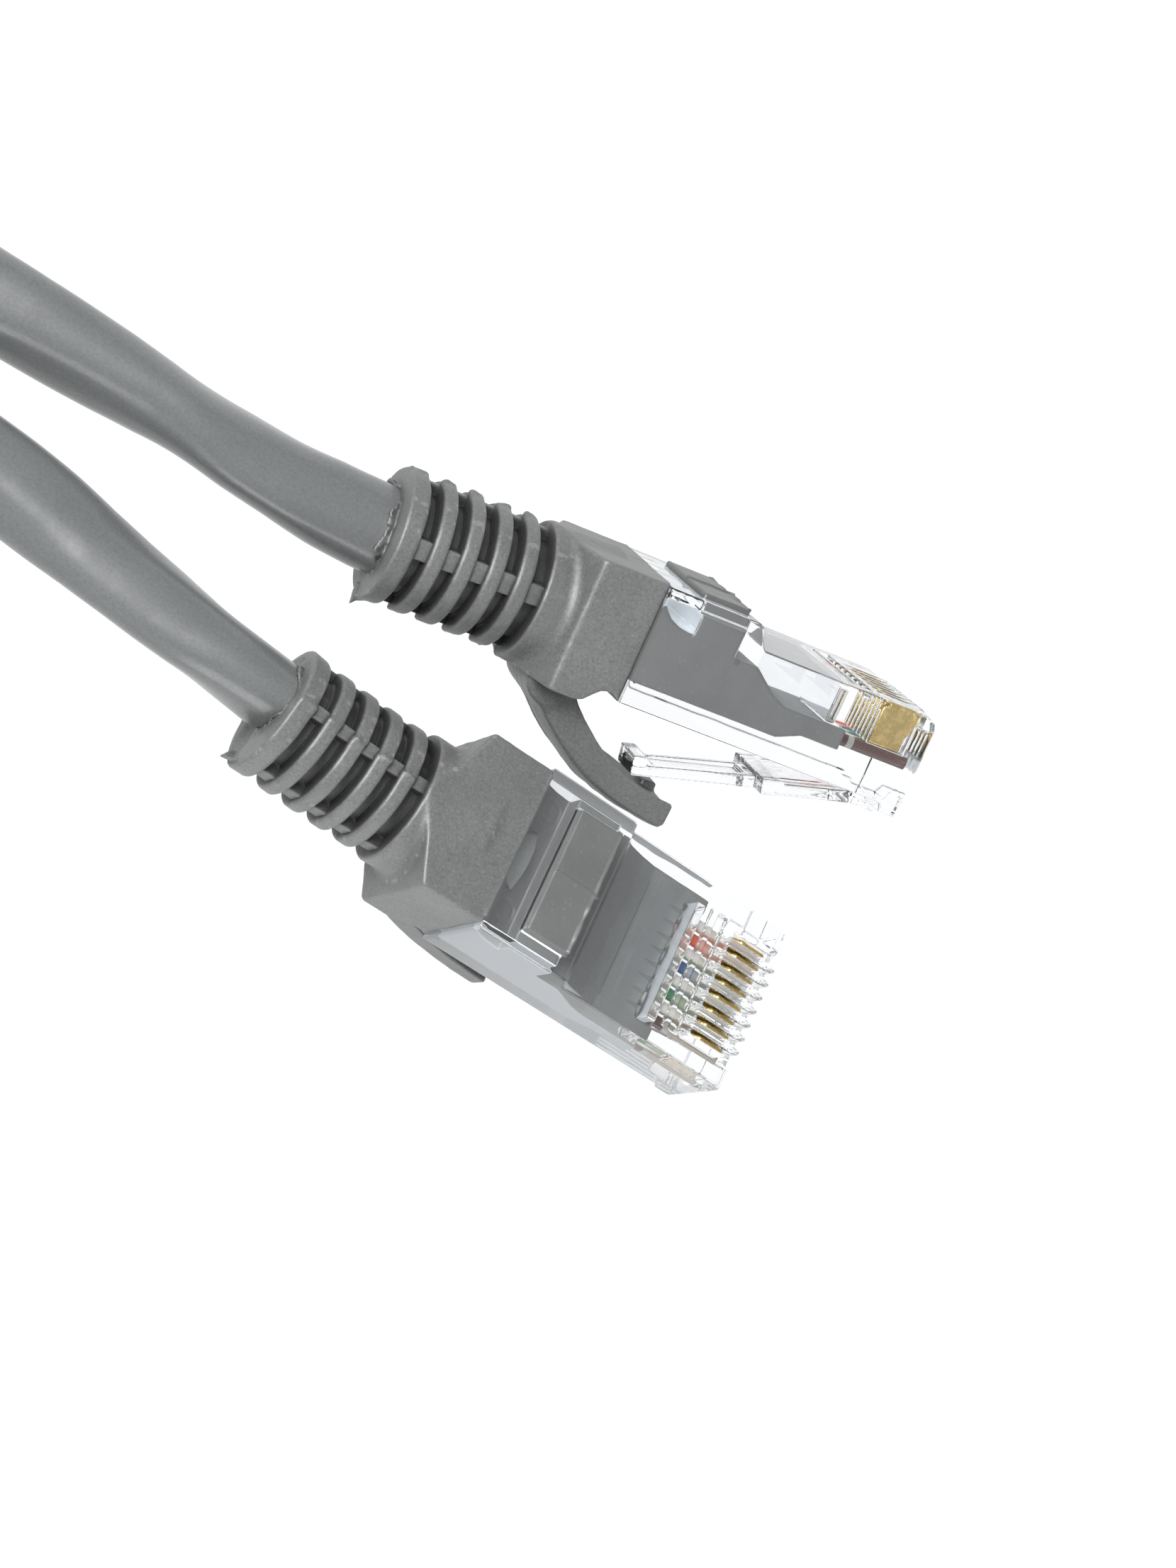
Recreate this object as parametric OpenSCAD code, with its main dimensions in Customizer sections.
// Short network patch lead: two clear eight-contact plugs with moulded strain
// relief boots, joined by one round cable that lies in a loop.
// Plug A lies on its pin 1 side and points along +X; its nose face is at x = 0.
// Plug B lies beside it, rolled so that it leans on its latch guard.
// In each plug's own frame x runs to the nose, y runs to pin 1 and z = 0 is the
// flat face over the contacts, so the body lies at negative x and the latch at
// negative z.

/* [Plug housing] */
// Width of the clear housing
plug_w = 11.68; // [11.5:0.02:11.8]
// Length of housing in front of the boot
plug_l = 20.96; // [20:0.02:21.2]
// Height of the housing at the nose
nose_h = 6.5; // [6.3:0.05:6.7]
// Rise of the rear of the housing above the nose
rear_rise = 1.55; // [1.2:0.05:1.7]
// Distance from the nose face to the step
step_x = 13.5; // [13:0.1:14]
// Wall at each side of the housing
side_wall = 0.55; // [0.5:0.05:0.7]

/* [Contacts and wires] */
// Distance between contact centres
pitch = 1.02; // [1:0.01:1.04]
// Thickness of a contact blade
blade_t = 0.36; // [0.3:0.02:0.4]
// Outside diameter of one insulated wire
wire_d = 0.84; // [0.76:0.02:0.86]
// Diameter of the stranded copper in a wire
copper_d = 0.46; // [0.4:0.02:0.5]
// Depth of the row of wires in the plug, below the contact face
wire_z = 3.70; // [3.6:0.05:3.8]

/* [Latch] */
// Width of the wide part of the latch
latch_w = 6.2; // [5.8:0.1:6.4]
// Width of the narrow part of the latch
latch_tail_w = 3.24; // [3:0.02:3.4]
// Distance from the nose face to the shoulder between the two widths
latch_shoulder_x = 8.36; // [8.1:0.02:8.6]
// Distance from the nose face to the free tip of the latch
latch_tip_x = 16.7; // [16:0.1:17]
// Angle between the latch at rest and the housing
latch_slope = 14.2; // [13:0.1:15]
// Thickness of the latch
latch_t = 0.95; // [0.8:0.05:1.05]

/* [Boot] */
// Width of the boot block
boot_w = 11.1; // [10.8:0.1:11.4]
// Diameter of the round neck of the boot
neck_d = 9.2; // [9:0.1:9.4]
// Depth of the cable axis below the contact face
axis_z = 2.7; // [2.5:0.05:2.8]
// Width of the latch guard
guard_w = 5.9; // [5.4:0.1:6.2]

/* [Strain relief rings] */
// Diameter of the rings and of the end collar
ring_d = 8.8; // [8.6:0.1:9]
// Thickness of a ring
ring_t = 1.0; // [0.9:0.05:1.1]
// Distance between ring centres
ring_pitch = 1.93; // [1.9:0.01:2]
// Distance from the nose face to the first ring's centre
ring_x = 29.5; // [29.4:0.1:29.6]
// Diameter of the core between the rings
core_d = 7.3; // [7:0.1:7.4]
// Length of the end collar
collar_l = 1.35; // [1.2:0.05:1.5]

/* [Cable] */
// Outside diameter of the cable jacket
jacket_d = 5.8; // [5.6:0.1:5.8]
// Bore of the cable jacket
jacket_bore = 4.7; // [4.6:0.05:4.8]
// Radius of the bends next to the plugs' legs
lead_in_r = 42; // [36:1:50]
// Radius of the end of the loop
loop_r = 27; // [24:1:32]

/* [Lay of the lead] */
// Turn of leg A away from plug A's axis, seen from above
leg_a_turn = 9.6; // [9.2:0.1:10.4]
// Fall of leg A towards the loop
leg_a_fall = 3.9; // [3.5:0.1:5]
// Turn of leg B, measured from plug A's axis
leg_b_turn = 16.8; // [15.5:0.1:17]
// Fall of leg B towards the loop
leg_b_fall = 10.5; // [9.5:0.1:12]
// Bend at each of plug B's strain relief gaps, at rest
rest_bend_b = -0.8; // [-1:0.1:0]
// Nose of plug B, along plug A's axis from plug A's nose
plug_b_x = -4.1; // [-4.4:0.1:-3.8]
// Nose of plug B, across from the line of plug A's contact face
plug_b_y = -21.9; // [-23:0.1:-21.9]
// Height of plug B's contact face at the nose, above plug A's middle
plug_b_z = 8.3; // [8.2:0.1:8.6]
// Roll of plug B
plug_b_roll = -29.0; // [-30:0.5:-28]
// Pitch of plug B
plug_b_pitch = -1.5; // [-2:0.5:-1]
// Yaw of plug B
plug_b_yaw = -12.3; // [-13:0.1:-12.2]

/* [Hidden] */
$fn = 48;
OVERLAP = 0.01;
FIT = 0.03;                     // running clearance between fitted pieces
JOIN_GAP = 0.005;               // half gap where one run of the cable meets the next
STUB_GAP = 0.24;                // half gap between the core stubs at a bend
SLICE_GAP = 0.19;               // half gap between the cable slices at a bend
NOSE_MID_Z = -3.2;              // plug height of the nose face's centre
AXIS_Z = -axis_z;

JACKET_R = jacket_d / 2;
BORE_R = jacket_bore / 2;
CABLE_HOLE_R = JACKET_R + FIT;  // hole that the jacket passes through
WIRE_R = wire_d / 2;
COPPER_R = copper_d / 2;
RING_R = ring_d / 2;
CORE_R = core_d / 2;

TABLE_Z = -plug_w / 2;          // the surface the lead lies on
LOOP_Z = TABLE_Z + JACKET_R;

// the two pins of each colour pair
PAIRS = ["orange", "green", "blue", "brown"];
PINS = [[1, 2], [3, 6], [4, 5], [7, 8]];
function pin_y(pin) = (4.5 - pin) * pitch;
// [y, z] of a wire's centre measured from the cable axis, by pin
WIRE_AT = [
    [1.67, 0], [0.73, 0], [0.47, -1.3], [0.47, 1.3],
    [-0.47, 1.3], [-0.47, -1.3], [-0.73, 0], [-1.67, 0]];

// plug x of the bend ahead of ring i; bend 5 is ahead of the collar
function gap_x(i) = -(ring_x - ring_pitch / 2 + (i - 1) * ring_pitch);
function ring_centre_x(i) = -(ring_x + (i - 1) * ring_pitch);
COLLAR_X = gap_x(5) - (ring_pitch - ring_t) / 2;
COLLAR_END_X = COLLAR_X - collar_l;
BOOT_END_X = -(ring_x - ring_t / 2 - (ring_pitch - ring_t));

// ---- matrices -----------------------------------------------------------------
function move(v) = [[1, 0, 0, v[0]], [0, 1, 0, v[1]], [0, 0, 1, v[2]], [0, 0, 0, 1]];
function turn_x(a) = [
    [1, 0, 0, 0], [0, cos(a), -sin(a), 0], [0, sin(a), cos(a), 0], [0, 0, 0, 1]];
function turn_y(a) = [
    [cos(a), 0, sin(a), 0], [0, 1, 0, 0], [-sin(a), 0, cos(a), 0], [0, 0, 0, 1]];
function turn_z(a) = [
    [cos(a), -sin(a), 0, 0], [sin(a), cos(a), 0, 0], [0, 0, 1, 0], [0, 0, 0, 1]];
function column(m, i) = [m[0][i], m[1][i], m[2][i]];
// world direction, seen in the frame m
function seen_in(m, dir) = [for (i = [0:2]) column(m, i) * dir];

// side 0 is plug A and side 1 is plug B
FRAMES = [
    move([0, -NOSE_MID_Z, 0]) * turn_x(-90),
    move([plug_b_x, plug_b_y - NOSE_MID_Z, plug_b_z])
        * turn_z(plug_b_yaw) * turn_y(plug_b_pitch) * turn_x(plug_b_roll)];
REST_BENDS = [0, rest_bend_b];
// frame of strain relief body i (0 is the plug itself, 5 is the collar)
function tail_frame(side, i) = i == 0 ? FRAMES[side]
    : tail_frame(side, i - 1) * move([gap_x(i), 0, AXIS_Z])
        * turn_z(REST_BENDS[side]) * move([-gap_x(i), 0, -AXIS_Z]);

// ---- the cable's path ---------------------------------------------------------
// each leg leaves its collar straight, takes one bend, then runs straight down
// to the loop; [turn, fall] are those of the last straight run
LEGS = [[leg_a_turn, leg_a_fall], [leg_b_turn, leg_b_fall]];
LEG_BEND_R = 30;
LEG_OUT = 0.6;                  // straight run past the collar's end
LEG_START_X = gap_x(5) - SLICE_GAP;
LEG_START_L = LEG_START_X - COLLAR_END_X + LEG_OUT;
function leg_start(side) = tail_frame(side, 5) * move([LEG_START_X, 0, AXIS_Z]);
function run_dir(turn, fall) = [-cos(turn) * cos(fall), sin(turn) * cos(fall), -sin(fall)];
function leg_dir(side) = seen_in(leg_start(side), run_dir(LEGS[side][0], LEGS[side][1]));
function leg_bend(side) = acos(-leg_dir(side)[0]);
function leg_roll(side) = atan2(leg_dir(side)[2], leg_dir(side)[1]);
// travel from the start to the end of a bend from -x towards +y
function bend_end(r, angle) = [-r * sin(angle), r * (1 - cos(angle)), 0];
// frame at the end of the leg's bend
function leg_mid(side) = leg_start(side) * move([-LEG_START_L, 0, 0])
    * turn_x(leg_roll(side)) * move(bend_end(LEG_BEND_R, leg_bend(side)))
    * turn_z(-leg_bend(side)) * turn_x(-leg_roll(side));
function leg_len(side) = (leg_mid(side)[2][3] - LOOP_Z) / sin(LEGS[side][1]);
function leg_end(side) = column(leg_mid(side) * move([-leg_len(side), 0, 0]), 3);

// the loop, all level: a bend away from leg A, a long bend back, a bend in to leg B
function plan(point) = [point[0], point[1]];
function heading(v) = atan2(v[1], v[0]);
function wrap(a) = a < 0 ? wrap(a + 360) : a >= 360 ? wrap(a - 360) : a;
function arc_angle(length, r) = length / r * 180 / PI;
END_A = plan(leg_end(0));
END_B = plan(leg_end(1));
CENTRE_A = END_A + lead_in_r * [sin(leg_a_turn), cos(leg_a_turn)];
CENTRE_B = END_B - lead_in_r * [sin(leg_b_turn), cos(leg_b_turn)];
// the long bend touches both lead-in bends, so its centre is equally far from theirs
A_TO_B = CENTRE_B - CENTRE_A;
CENTRE_DIST = lead_in_r + loop_r;
CENTRE_OUT = sqrt(CENTRE_DIST * CENTRE_DIST - A_TO_B * A_TO_B / 4);
LOOP_CENTRE = (CENTRE_A + CENTRE_B) / 2 + CENTRE_OUT * [A_TO_B[1], -A_TO_B[0]] / norm(A_TO_B);
START_A = heading(LOOP_CENTRE - CENTRE_A);
START_LOOP = heading(CENTRE_A - LOOP_CENTRE);
START_B = heading(END_B - CENTRE_B);
SWEEP_A = wrap(heading(END_A - CENTRE_A) - START_A);
SWEEP_LOOP = wrap(heading(CENTRE_B - LOOP_CENTRE) - START_LOOP);
SWEEP_B = wrap(heading(LOOP_CENTRE - CENTRE_B) - START_B);

// ---- cable runs ---------------------------------------------------------------
// content is SHEATH for the jacket, or the index of a colour pair
SHEATH = -1;
// cross section, drawn with the first axis up and the second across
module section(content) {
    if (content == SHEATH) {
        difference() {
            circle(JACKET_R);
            circle(BORE_R);
        }
    } else {
        for (pin = PINS[content]) {
            at = WIRE_AT[pin - 1];
            translate([at[1], at[0]]) {
                difference() {
                    circle(WIRE_R, $fn = 24);
                    circle(COPPER_R + 0.01, $fn = 24);
                }
                circle(COPPER_R, $fn = 24);
            }
        }
    }
}
// a straight run along -x
module straight(length, content) {
    rotate([0, -90, 0]) linear_extrude(length) section(content);
}
// a bend from -x towards +y, turned about the path by roll
module bend(r, angle, roll, content) {
    rotate([roll, 0, 0]) translate([0, r, 0]) mirror([1, 0, 0]) rotate([0, 0, -90])
        rotate_extrude(angle = angle, $fn = 96)
            translate([r, 0]) rotate(90) rotate(roll) section(content);
}
module after_bend(r, angle, roll) {
    rotate([roll, 0, 0]) translate(bend_end(r, angle)) rotate([0, 0, -angle])
        rotate([-roll, 0, 0]) children();
}
// lead is how far the piece starts behind the leg's start, and trim how far it
// stops short of the loop
module leg_run(side, content, lead, trim) {
    angle = leg_bend(side);
    roll = leg_roll(side);
    multmatrix(leg_start(side)) translate([-lead, 0, 0]) {
        straight(LEG_START_L - lead - JOIN_GAP, content);
        translate([-(LEG_START_L - lead), 0, 0]) {
            bend(LEG_BEND_R, angle, roll, content);
            after_bend(LEG_BEND_R, angle, roll) translate([-JOIN_GAP, 0, 0])
                straight(leg_len(side) - trim - JOIN_GAP, content);
        }
    }
}
module jacket_leg_body(side) {
    difference() {
        leg_run(side, SHEATH, lead = 0, trim = 0);
        // room for the end of the loop
        translate(leg_end(side)) sphere(r = JACKET_R + 0.15);
    }
}
// one level bend of the loop; flip mirrors the section where the path's centre
// changes sides
module level_bend(centre, start, sweep, r, content, flip = 0) {
    translate([centre[0], centre[1], LOOP_Z]) rotate([0, 0, start])
        rotate_extrude(angle = sweep, $fn = 96)
            translate([r, 0]) mirror([flip, 0]) rotate(90) section(content);
}
// the loop, stopping short of each leg by trim
module loop_run(content, trim) {
    cut = arc_angle(trim, lead_in_r);
    gap = arc_angle(JOIN_GAP, loop_r);
    level_bend(CENTRE_A, START_A, SWEEP_A - cut, lead_in_r, content);
    level_bend(LOOP_CENTRE, START_LOOP + gap, SWEEP_LOOP - 2 * gap, loop_r, content, flip = 1);
    level_bend(CENTRE_B, START_B + cut, SWEEP_B - cut, lead_in_r, content);
}

// ---- shapes in a plug's frame ---------------------------------------------------
module in_plug(side) { multmatrix(FRAMES[side]) children(); }
module in_tail(side, i) { multmatrix(tail_frame(side, i)) children(); }
// a box of width w centred on y = 0, between two x and two z
module slab(x, w, z) {
    translate([x[0], -w / 2, z[0]]) cube([x[1] - x[0], w, z[1] - z[0]]);
}
// a bar across the plug, from a profile of [x, z] points
module across(w, profile) {
    rotate([90, 0, 0]) translate([0, 0, -w / 2]) linear_extrude(w) polygon(profile);
}
// a round bar across the plug
module round_across(x, z, r, w) {
    translate([x, 0, z]) rotate([90, 0, 0]) cylinder(r = r, h = w, center = true);
}
// a round bar on the cable axis, from front_x back to rear_x
module round_along(front_x, rear_x, r) {
    translate([rear_x, 0, AXIS_Z]) rotate([0, 90, 0]) cylinder(r = r, h = front_x - rear_x);
}
// a body turned about the cable axis, from a profile of [radius, x] points
module turned(profile) {
    translate([0, 0, AXIS_Z]) rotate([0, 90, 0]) rotate_extrude() polygon(profile);
}
module at_pins() {
    for (pin = [1:8]) translate([0, pin_y(pin), 0]) children();
}

// ---- wires in a plug ------------------------------------------------------------
FAN_FRONT_X = -9.9;             // where the flat row of wires begins to gather
FAN_REAR_X = -19.4;             // where the wires have gathered into the cable
WIRE_FRONT_X = -0.4;
WIRE_REAR_X = BOOT_END_X + 0.5;
module wire_joint(at) {
    translate(at) rotate([33, 21, 0]) sphere(r = WIRE_R + 0.02, $fn = 24);
}
module wire_body(pin) {
    offset = WIRE_AT[pin - 1];
    front = [FAN_FRONT_X, pin_y(pin), -wire_z];
    rear = [FAN_REAR_X, offset[0], AXIS_Z + offset[1]];
    span = rear - front;
    length = norm(span);
    translate(front) rotate([0, 90, 0])
        cylinder(r = WIRE_R, h = WIRE_FRONT_X - FAN_FRONT_X, $fn = 24);
    wire_joint(front);
    translate(front) rotate([0, acos(span[2] / length), atan2(span[1], span[0])])
        cylinder(r = WIRE_R, h = length, $fn = 24);
    wire_joint(rear);
    translate([WIRE_REAR_X, rear[1], rear[2]]) rotate([0, 90, 0])
        cylinder(r = WIRE_R, h = FAN_REAR_X - WIRE_REAR_X, $fn = 24);
}
// bores for the flat row of wires
module wire_bores(front_x, rear_x) {
    at_pins() translate([rear_x, 0, -wire_z]) rotate([0, 90, 0])
        cylinder(r = WIRE_R + FIT, h = front_x - rear_x, $fn = 24);
}

// ---- housing --------------------------------------------------------------------
NOSE_ROUND_R = 1;
STEP_ROUND_R = 0.8;
STEP_ROUND_X = -step_x - STEP_ROUND_R;
STEP_ROUND_Z = rear_rise - STEP_ROUND_R;
LATCH_ROOT_X = -1.9;
LATCH_ROOT_Z = -7.15;
LATCH_ROOM = 0.16;              // extra width of the latch root's seat
CAVITY_W = plug_w - 2 * side_wall;
WINDOW_X = -15.0;               // front of the mould's block in the housing's window

// [x, z] side profile of the grey mould inside the housing, grown by grow; its
// raised part begins at riser_x
function mould_profile(grow, rear_x, riser_x, top_z) = [
    [rear_x, -5.0 - grow], [-10.1 + grow, -5.0 - grow],
    [-8.5 + grow, -4.32 - grow], [-5.7 + grow, -4.32 - grow],
    [-5.7 + grow, -2.95 + grow], [-10.3 + grow, -2.95 + grow],
    [-11.4 + grow, -2.5 + grow], [-13.2 + grow, -1.2 + grow],
    [riser_x, -1.2 + grow], [riser_x, top_z], [rear_x, top_z]];

module housing_outside() {
    slab([STEP_ROUND_X + STEP_ROUND_R / 2, 0], plug_w, [-nose_h, 0]);
    // raised rear, with a rounded step
    slab([-plug_l, STEP_ROUND_X], plug_w, [-nose_h, rear_rise]);
    slab([STEP_ROUND_X - 0.1, -step_x], plug_w, [-nose_h, STEP_ROUND_Z]);
    round_across(STEP_ROUND_X, STEP_ROUND_Z, STEP_ROUND_R, plug_w);
    // lip under the nose, and the block that carries the latch
    slab([-1.3, 0], plug_w, [-7.1, -nose_h + OVERLAP]);
    slab([-2.3, -0.3], latch_w, [-7.75, -nose_h + OVERLAP]);
}
module nose_edge_cut() {
    difference() {
        slab([-NOSE_ROUND_R, 1], plug_w + 2, [-NOSE_ROUND_R, 1]);
        round_across(-NOSE_ROUND_R, -NOSE_ROUND_R, NOSE_ROUND_R, plug_w + 3);
    }
}
// seat of the latch's root, under the nose
module latch_slot() {
    round_across(LATCH_ROOT_X, LATCH_ROOT_Z, 0.5, latch_w + LATCH_ROOM);
    slab([-3, LATCH_ROOT_X], latch_w + LATCH_ROOM, [-9, -nose_h - OVERLAP]);
}
// way in for the cable, from the back of the plug
module cable_entry() { round_along(FAN_REAR_X + 0.02, -plug_l - 1, CABLE_HOLE_R); }
module housing_body() {
    difference() {
        housing_outside();
        nose_edge_cut();
        // the grey mould's cavity, open at the back, and its window at the top
        across(CAVITY_W, mould_profile(FIT, rear_x = -plug_l - 1, riser_x = -14.9, top_z = 0.9));
        slab([-18.2, -14.94], 8.9, [0.5, rear_rise + 1]);
        // chamber of the bar that holds the wires down
        slab([-10.85, -6.55], 8.7, [-2.97, 1]);
        // slots of the contacts: a wide one open at the nose, and the blade's own
        at_pins() {
            slab([-3.95, 1], 0.6, [-1.1, 1]);
            slab([-3.62, -0.48], blade_t + 2 * FIT, [-wire_z, 0]);
        }
        wire_bores(-0.35, -6);
        latch_slot();
        cable_entry();
    }
}

// chamber where the wires gather into the cable, tapering in side and top view
GATHER_FRONT_X = -10.26;
GATHER_REAR_X = FAN_REAR_X - 0.5;
module gather_chamber() {
    intersection() {
        across(8.2, [
            [GATHER_FRONT_X, -wire_z - WIRE_R - 0.05], [GATHER_FRONT_X, -3.1],
            [GATHER_REAR_X, -0.85], [GATHER_REAR_X, -4.6]]);
        linear_extrude(20, center = true) polygon([
            [GATHER_FRONT_X, 4.09], [GATHER_FRONT_X, -4.09],
            [GATHER_REAR_X, -2.25], [GATHER_REAR_X, 2.25]]);
    }
}
module inner_mould_body() {
    difference() {
        union() {
            across(CAVITY_W - 2 * FIT,
                mould_profile(0, rear_x = -plug_l + 0.02, riser_x = WINDOW_X, top_z = 0.6));
            // block of the strain relief window, standing just proud
            slab([-18.1, WINDOW_X], 8.76, [0.4, rear_rise + 0.3]);
        }
        // flat over the wires
        slab([-7.6, -5], 8.4, [-3.4, -2]);
        // pocket behind the window block
        slab([-plug_l - 1, -18.12], 9.8, [-0.4, 2]);
        wire_bores(-4.5, -10.5);
        gather_chamber();
        cable_entry();
    }
}

LOAD_BAR_W = 8.6;
module load_bar_body() {
    // base, then the rear and middle ribs
    slab([-10.28, -6.6], LOAD_BAR_W, [-2.92, -1.3]);
    slab([-10.82, -9.9], LOAD_BAR_W, [-2.66, -0.35]);
    slab([-8.5, -7.6], LOAD_BAR_W, [-1.4, -0.35]);
}

// [x, z] outline of a contact blade
BLADE_OUTLINE = [
    [-3.56, -0.75], [-3.3, -0.4], [-0.85, -0.4], [-0.55, -0.7], [-0.55, -1.5],
    [-1.0, -2.2], [-1.0, -3.22], [-3.5, -3.22], [-3.5, -2.4], [-3.56, -2.4]];
module contacts_body() { at_pins() across(blade_t, BLADE_OUTLINE); }

// ---- latch and guard ------------------------------------------------------------
module latch_body() {
    half_t = latch_t / 2;
    wide_l = (latch_shoulder_x + LATCH_ROOT_X) / cos(latch_slope);
    full_l = (latch_tip_x + LATCH_ROOT_X) / cos(latch_slope);
    translate([LATCH_ROOT_X, 0, LATCH_ROOT_Z]) {
        rotate([90, 0, 0]) cylinder(r = 0.46, h = latch_w, center = true);
        rotate([0, -latch_slope, 0]) {
            slab([-wide_l, -0.12], latch_w, [-half_t - 0.1, half_t - 0.2]);
            slab([-full_l, -1], latch_tail_w, [-half_t - 0.1, half_t - 0.1]);
            // thumb end
            slab([-full_l, -full_l + 0.9], latch_tail_w, [-half_t + 0.1, half_t + 0.35]);
        }
    }
}

// round root of the guard
GUARD_X = -24.75;
GUARD_Z = -7.4;
GUARD_R = 1.45;
// [x, z] outline of the guard's curved arm: its upper side to the tip, then back
GUARD_OUTLINE = [
    [-26.15, -7.9], [-23.5, -7.95], [-22.6, -8.35], [-21.6, -9.15], [-20.4, -10.05],
    [-18.8, -11.05], [-17.4, -11.7], [-15.9, -12.12], [-13.7, -12.45],
    [-13.45, -12.75], [-13.75, -13.75], [-14.6, -14.1],
    [-15.6, -13.97], [-18.3, -13.3], [-20.2, -12.62], [-22.0, -11.6],
    [-23.6, -10.45], [-25.2, -9.1]];
module guard_body() {
    round_across(GUARD_X, GUARD_Z, GUARD_R, guard_w);
    across(guard_w, GUARD_OUTLINE);
}

// ---- boot and strain relief -----------------------------------------------------
BOOT_FRONT_X = -plug_l - 0.03;
// [x, z] side outline of the boot block
BOOT_OUTLINE = [
    [BOOT_FRONT_X, 1.62], [BOOT_END_X, 1.62], [BOOT_END_X, -7.35], [-23.75, -7.35],
    [-22.95, -6.95], [-22.4, -6.3], [-21.6, -6.2], [-21.2, -6.45], [BOOT_FRONT_X, -6.45]];
BOOT_CONE_L = 8;
module boot_body() {
    difference() {
        union() {
            intersection() {
                across(boot_w, BOOT_OUTLINE);
                // rear corners fall back to the round neck
                translate([BOOT_END_X, 0, AXIS_Z]) rotate([0, 90, 0])
                    cylinder(r1 = neck_d / 2, r2 = neck_d / 2 + BOOT_CONE_L, h = BOOT_CONE_L);
            }
            round_along(-25.5, BOOT_END_X, neck_d / 2);
            // core stub
            round_along(BOOT_END_X + 1, gap_x(1) + STUB_GAP, CORE_R);
        }
        round_along(1, -40, CABLE_HOLE_R);
        // seat of the guard's root, open below
        round_across(GUARD_X, GUARD_Z, GUARD_R + 0.04, guard_w + 0.1);
        slab([-26.6, -22.9], guard_w + 0.1, [-9, -7.3]);
    }
}
module jacket_end_body() {
    difference() {
        round_along(FAN_REAR_X, gap_x(1) + SLICE_GAP, JACKET_R);
        round_along(FAN_REAR_X + 1, gap_x(1) - 1, BORE_R);
    }
}
EDGE = 0.25;                    // chamfer of the rings and of the collar's front
module ring_body(i) {
    rear = ring_centre_x(i) - ring_t / 2;
    front = ring_centre_x(i) + ring_t / 2;
    stub_rear = gap_x(i + 1) + STUB_GAP;
    stub_front = gap_x(i) - STUB_GAP;
    turned([
        [CABLE_HOLE_R, stub_rear], [CORE_R, stub_rear], [CORE_R, rear],
        [RING_R - EDGE, rear], [RING_R, rear + EDGE],
        [RING_R, front - EDGE], [RING_R - EDGE, front],
        [CORE_R, front], [CORE_R, stub_front], [CABLE_HOLE_R, stub_front]]);
}
module slice_body(i) {
    difference() {
        round_along(gap_x(i) - SLICE_GAP, gap_x(i + 1) + SLICE_GAP, JACKET_R);
        round_along(gap_x(i), gap_x(i + 1), BORE_R);
    }
}
module collar_body() {
    stub_front = gap_x(5) - STUB_GAP;
    turned([
        [CABLE_HOLE_R, COLLAR_END_X], [RING_R - 0.7, COLLAR_END_X],
        [RING_R, COLLAR_END_X + 0.9], [RING_R, COLLAR_X - EDGE],
        [RING_R - EDGE, COLLAR_X], [CORE_R, COLLAR_X],
        [CORE_R, stub_front], [CABLE_HOLE_R, stub_front]]);
}

// ---- nodes ----------------------------------------------------------------------
GREY = [0.42, 0.42, 0.40];
JACKET = [0.47, 0.49, 0.47];
CLEAR = [0.86, 0.92, 0.95, 0.45];
WIRE_COLOURS = ["darkorange", "seagreen", "royalblue", "saddlebrown"];
SIDES = ["a", "b"];

NODES = concat(
    ["jacket_loop", "jacket_leg_a", "jacket_leg_b"],
    [for (part = ["loop", "leg_a", "leg_b"]) for (c = PAIRS) str("pair_", c, "_", part)],
    [for (s = SIDES) for (i = [1:4]) str("ring_", i, "_", s)],
    [for (s = SIDES) for (i = [1:4]) str("jacket_slice_", i, "_", s)],
    [for (s = SIDES)
        for (n = ["collar", "boot", "housing", "inner_mould", "contacts", "load_bar",
                "jacket_end", "latch", "latch_guard"])
            str(n, "_", s)],
    [for (s = SIDES) for (c = PAIRS) str("wires_", c, "_", s)]);
node = "all";

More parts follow.
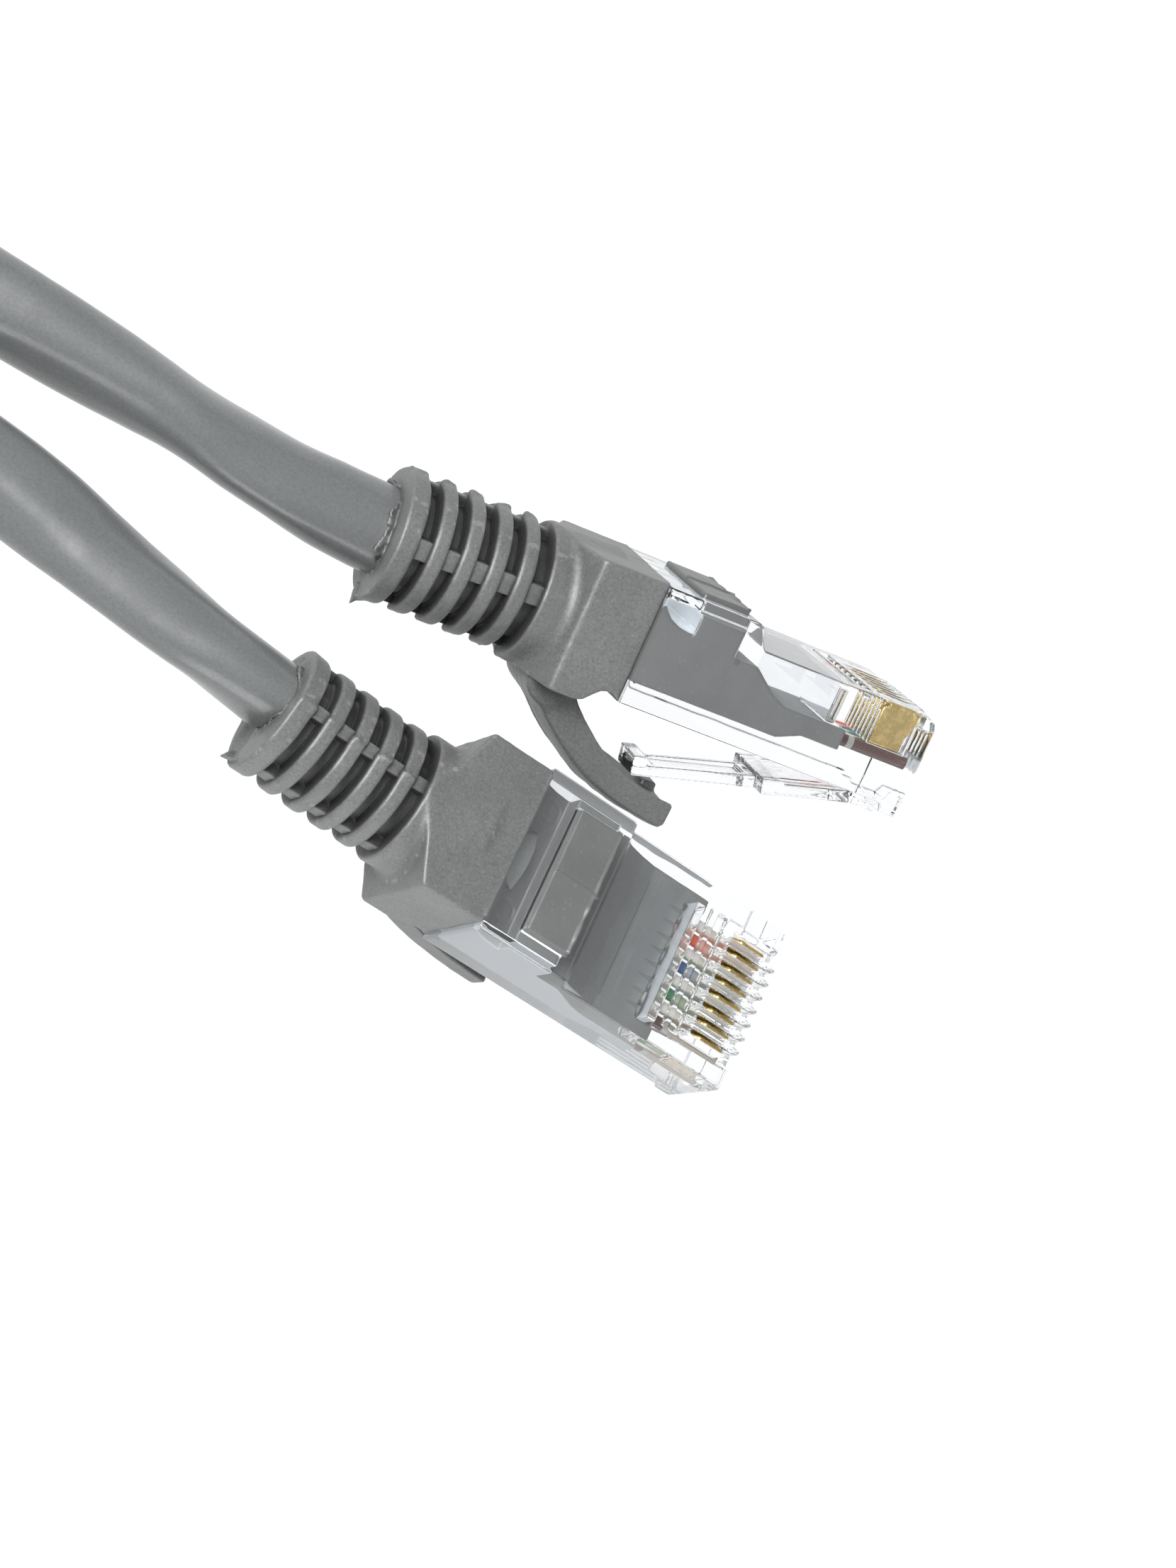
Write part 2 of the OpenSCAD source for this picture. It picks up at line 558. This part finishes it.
module jacket_loop() { color(JACKET) loop_run(SHEATH, trim = 0); }
module jacket_leg(p) { color(JACKET) jacket_leg_body(p); }
module pair_loop(k) { color(WIRE_COLOURS[k]) loop_run(k, trim = 2.6); }
module pair_leg(p, k) { color(WIRE_COLOURS[k]) leg_run(p, k, lead = 0.3, trim = 3.4); }
module ring(p, i) { color(GREY) in_tail(p, i) ring_body(i); }
module jacket_slice(p, i) { color(JACKET) in_tail(p, i) slice_body(i); }
module collar(p) { color(GREY) in_tail(p, 5) collar_body(); }
module boot(p) { color(GREY) in_plug(p) boot_body(); }
module housing(p) { color(CLEAR) in_plug(p) housing_body(); }
module inner_mould(p) { color(GREY) in_plug(p) inner_mould_body(); }
module contacts(p) { color("gold") in_plug(p) contacts_body(); }
module load_bar(p) { color(CLEAR) in_plug(p) load_bar_body(); }
module jacket_end(p) { color(JACKET) in_plug(p) jacket_end_body(); }
module latch(p) { color(CLEAR) in_plug(p) latch_body(); }
module latch_guard(p) { color(GREY) in_plug(p) guard_body(); }
module wires(p, k) { color(WIRE_COLOURS[k]) in_plug(p) for (pin = PINS[k]) wire_body(pin); }

function wanted(name) = node == "all" || node == name;
// p is the side, k the colour pair and i the ring or slice
if (wanted("jacket_loop")) jacket_loop();
for (k = [0:3]) if (wanted(str("pair_", PAIRS[k], "_loop"))) pair_loop(k);
for (p = [0, 1]) {
    s = SIDES[p];
    if (wanted(str("jacket_leg_", s))) jacket_leg(p);
    for (k = [0:3]) if (wanted(str("pair_", PAIRS[k], "_leg_", s))) pair_leg(p, k);
    for (i = [1:4]) if (wanted(str("ring_", i, "_", s))) ring(p, i);
    for (i = [1:4]) if (wanted(str("jacket_slice_", i, "_", s))) jacket_slice(p, i);
    for (k = [0:3]) if (wanted(str("wires_", PAIRS[k], "_", s))) wires(p, k);
    if (wanted(str("collar_", s))) collar(p);
    if (wanted(str("boot_", s))) boot(p);
    if (wanted(str("housing_", s))) housing(p);
    if (wanted(str("inner_mould_", s))) inner_mould(p);
    if (wanted(str("contacts_", s))) contacts(p);
    if (wanted(str("load_bar_", s))) load_bar(p);
    if (wanted(str("jacket_end_", s))) jacket_end(p);
    if (wanted(str("latch_", s))) latch(p);
    if (wanted(str("latch_guard_", s))) latch_guard(p);
}
